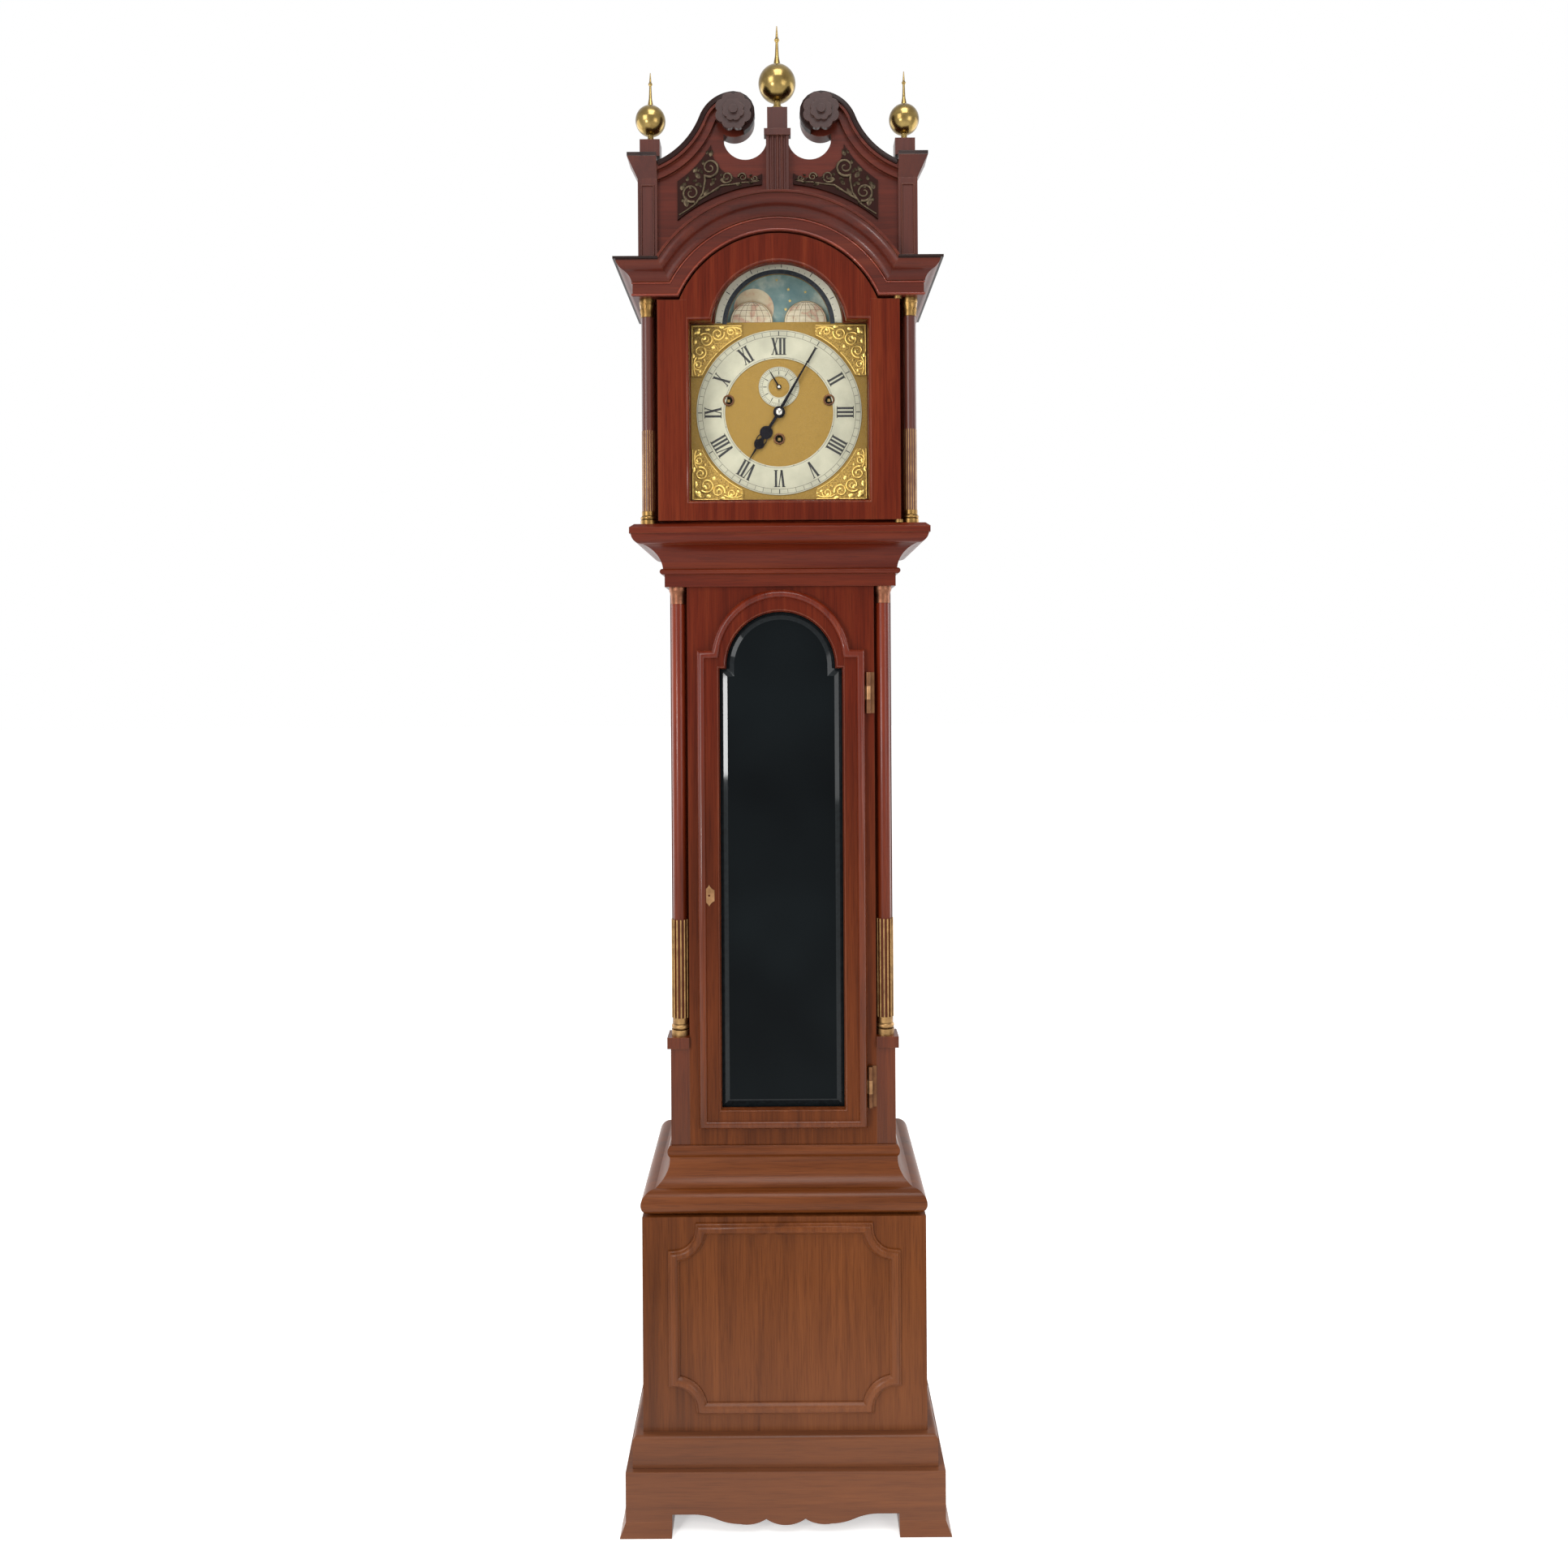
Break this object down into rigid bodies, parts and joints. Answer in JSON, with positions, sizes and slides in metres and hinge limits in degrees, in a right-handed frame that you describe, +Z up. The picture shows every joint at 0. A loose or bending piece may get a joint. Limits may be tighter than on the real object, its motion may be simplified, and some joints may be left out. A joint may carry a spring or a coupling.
{
  "type": "musical longcase clock",
  "caption": "Tall mahogany longcase clock with a swan-neck hood, arched moon dial, glazed trunk door, weights, pendulum, geared going train and a nest of bells with hammers.",
  "frame": {"origin": "on the floor under the centre of the clock's overall box", "axes": "+Z up, the dial and doors face -Y, +X to the right of someone facing the dial"},
  "size_m": [0.541, 0.369, 2.484],
  "materials": {
    "mahogany": "polished dark red mahogany",
    "base_mahogany": "polished browner mahogany",
    "softwood": "plain oiled board",
    "carved_wood": "carved dark wood",
    "brass": "polished brass",
    "gilt_brass": "fire-gilt and chased brass",
    "movement_brass": "machined brass",
    "silvered": "silvered and waxed brass",
    "steel": "polished steel",
    "blued_steel": "blued steel",
    "bell_metal": "turned bell metal",
    "painted_disc": "hand painted",
    "hood_pane": "clear old glass",
    "trunk_pane": "bevelled dark glass",
    "gut": "twisted gut line"
  },
  "bodies": {
    "case": {"backboard": "softwood", "base_boards": "base_mahogany", "base_cove_moulding": "mahogany", "base_panel_moulding": "base_mahogany", "bracket_plinth": "base_mahogany", "plinth_moulding": "base_mahogany", "trunk_sides": "mahogany", "trunk_front_frame": "mahogany", "quarter_columns": "mahogany", "column_brasses": "brass", "throat_moulding": "mahogany", "trunk_hinge_leaves": "brass", "seatboard": "softwood", "back_plate": "movement_brass", "front_plate": "movement_brass", "dial_plate": "gilt_brass", "dial_rings": "silvered", "corner_spandrels": "gilt_brass", "bell_nest": "bell_metal", "line_ends": "gut", "going_line": "gut", "strike_line": "gut", "music_line": "gut"},
    "hood": {"hood_foot_moulding": "mahogany", "hood_carcase": "mahogany", "hood_mask": "mahogany", "cornice": "mahogany", "tympanum": "mahogany", "rosettes": "carved_wood", "fret_panels": "carved_wood", "pediment_pedestals": "mahogany", "finials": "gilt_brass", "hood_pillars": "mahogany", "pillar_brasses": "brass", "hood_door_pivots": "brass"},
    "hood_door": {"hood_door_frame": "mahogany", "hood_door_glass": "hood_pane"},
    "trunk_door": {"trunk_door_frame": "mahogany", "trunk_door_glass": "trunk_pane", "trunk_door_brasses": "brass"},
    "minute_train": {"centre_wheel": "movement_brass", "minute_hand": "blued_steel"},
    "hour_train": {"hour_wheel": "movement_brass", "hour_hand": "blued_steel"},
    "motion_wheel": {"minute_wheel": "movement_brass"},
    "great_train": {"going_great_wheel": "movement_brass"},
    "third_train": {"third_wheel": "movement_brass"},
    "escape_train": {"escape_wheel": "movement_brass", "seconds_hand": "blued_steel"},
    "anchor": {"pallet_anchor": "steel"},
    "swinging_pendulum": {"pendulum": "brass"},
    "going_drum": {"going_barrel": "movement_brass"},
    "strike_drum": {"strike_barrel": "movement_brass"},
    "music_drum": {"music_barrel": "movement_brass"},
    "pinned_cylinder": {"music_cylinder": "movement_brass"},
    "moon": {"moon_disc": "painted_disc"},
    "bell_hammers": {"hammers": "steel"},
    "going_drive": {"going_weight": "brass"},
    "strike_drive": {"strike_weight": "brass"},
    "music_drive": {"music_weight": "brass"}
  },
  "joints": [
    {"name": "hood_slide", "type": "slide", "parent": "case", "child": "hood", "axis": [0, -1, 0], "range_m": [0, 0.33]},
    {"name": "hood_door_hinge", "type": "hinge", "parent": "hood", "child": "hood_door", "pos_m": [0.197, -0.1475, 1.659], "axis": [0, 0, 1], "range_deg": [0, 100]},
    {"name": "trunk_door_hinge", "type": "hinge", "parent": "case", "child": "trunk_door", "pos_m": [0.147, -0.1065, 1], "axis": [0, 0, 1], "range_deg": [0, 100]},
    {"name": "minute_spin", "type": "hinge", "parent": "case", "child": "minute_train", "pos_m": [0, -0.0075, 1.85], "axis": [0, 1, 0], "continuous": true},
    {"name": "hour_spin", "type": "hinge", "parent": "case", "child": "hour_train", "pos_m": [0, -0.0075, 1.85], "axis": [0, 1, 0], "continuous": true},
    {"name": "motion_wheel_spin", "type": "hinge", "parent": "case", "child": "motion_wheel", "pos_m": [0.0312, -0.0075, 1.832], "axis": [0, 1, 0], "continuous": true},
    {"name": "great_wheel_spin", "type": "hinge", "parent": "case", "child": "great_train", "pos_m": [0, -0.0075, 1.805], "axis": [0, 1, 0], "continuous": true},
    {"name": "third_wheel_spin", "type": "hinge", "parent": "case", "child": "third_train", "pos_m": [0.0132, -0.0075, 1.8738], "axis": [0, 1, 0], "continuous": true},
    {"name": "escape_wheel_spin", "type": "hinge", "parent": "case", "child": "escape_train", "pos_m": [0, -0.0075, 1.8934], "axis": [0, 1, 0], "continuous": true},
    {"name": "pendulum_swing", "type": "hinge", "parent": "case", "child": "swinging_pendulum", "pos_m": [0, 0.0465, 1.92], "axis": [0, 1, 0], "range_deg": [-3, 3]},
    {"name": "anchor_rock", "type": "hinge", "parent": "case", "child": "anchor", "pos_m": [0, 0.0465, 1.92], "axis": [0, 1, 0], "range_deg": [-3, 3]},
    {"name": "going_weight_drop", "type": "slide", "parent": "case", "child": "going_drive", "axis": [0, 0, 1], "range_m": [0, 0.9], "deforming": ["going_line"]},
    {"name": "strike_weight_drop", "type": "slide", "parent": "case", "child": "strike_drive", "axis": [0, 0, 1], "range_m": [0, 0.9], "deforming": ["strike_line"]},
    {"name": "music_weight_drop", "type": "slide", "parent": "case", "child": "music_drive", "axis": [0, 0, 1], "range_m": [0, 0.9], "deforming": ["music_line"]},
    {"name": "going_barrel_wind", "type": "hinge", "parent": "case", "child": "going_drum", "pos_m": [0, -0.0075, 1.805], "axis": [0, -1, 0], "range_deg": [0, 4060]},
    {"name": "strike_barrel_wind", "type": "hinge", "parent": "case", "child": "strike_drum", "pos_m": [-0.086, -0.0075, 1.871], "axis": [0, -1, 0], "range_deg": [0, 4060]},
    {"name": "music_barrel_wind", "type": "hinge", "parent": "case", "child": "music_drum", "pos_m": [0.085, -0.0075, 1.871], "axis": [0, -1, 0], "range_deg": [0, 4060]},
    {"name": "cylinder_spin", "type": "hinge", "parent": "case", "child": "pinned_cylinder", "pos_m": [0.085, -0.0075, 1.9196], "axis": [0, 1, 0], "range_deg": [0, 14200]},
    {"name": "moon_spin", "type": "hinge", "parent": "case", "child": "moon", "pos_m": [0, -0.0075, 1.994], "axis": [0, 1, 0], "continuous": true},
    {"name": "hammer_lift", "type": "hinge", "parent": "case", "child": "bell_hammers", "pos_m": [0, -0.0395, 1.958], "axis": [1, 0, 0], "range_deg": [0, 6]}
  ],
  "couplings": [
    {"joint": "hour_spin", "follows": "minute_spin", "ratio": 0.083333},
    {"joint": "motion_wheel_spin", "follows": "minute_spin", "ratio": -0.75},
    {"joint": "great_wheel_spin", "follows": "minute_spin", "ratio": -0.083333},
    {"joint": "third_wheel_spin", "follows": "minute_spin", "ratio": -7.5},
    {"joint": "escape_wheel_spin", "follows": "minute_spin", "ratio": 60},
    {"joint": "anchor_rock", "follows": "pendulum_swing", "ratio": 1},
    {"joint": "going_barrel_wind", "follows": "going_weight_drop", "rad_per_m": 78.431},
    {"joint": "strike_barrel_wind", "follows": "strike_weight_drop", "rad_per_m": 78.431},
    {"joint": "music_barrel_wind", "follows": "music_weight_drop", "rad_per_m": 78.431},
    {"joint": "cylinder_spin", "follows": "music_weight_drop", "rad_per_m": 274.51}
  ]
}
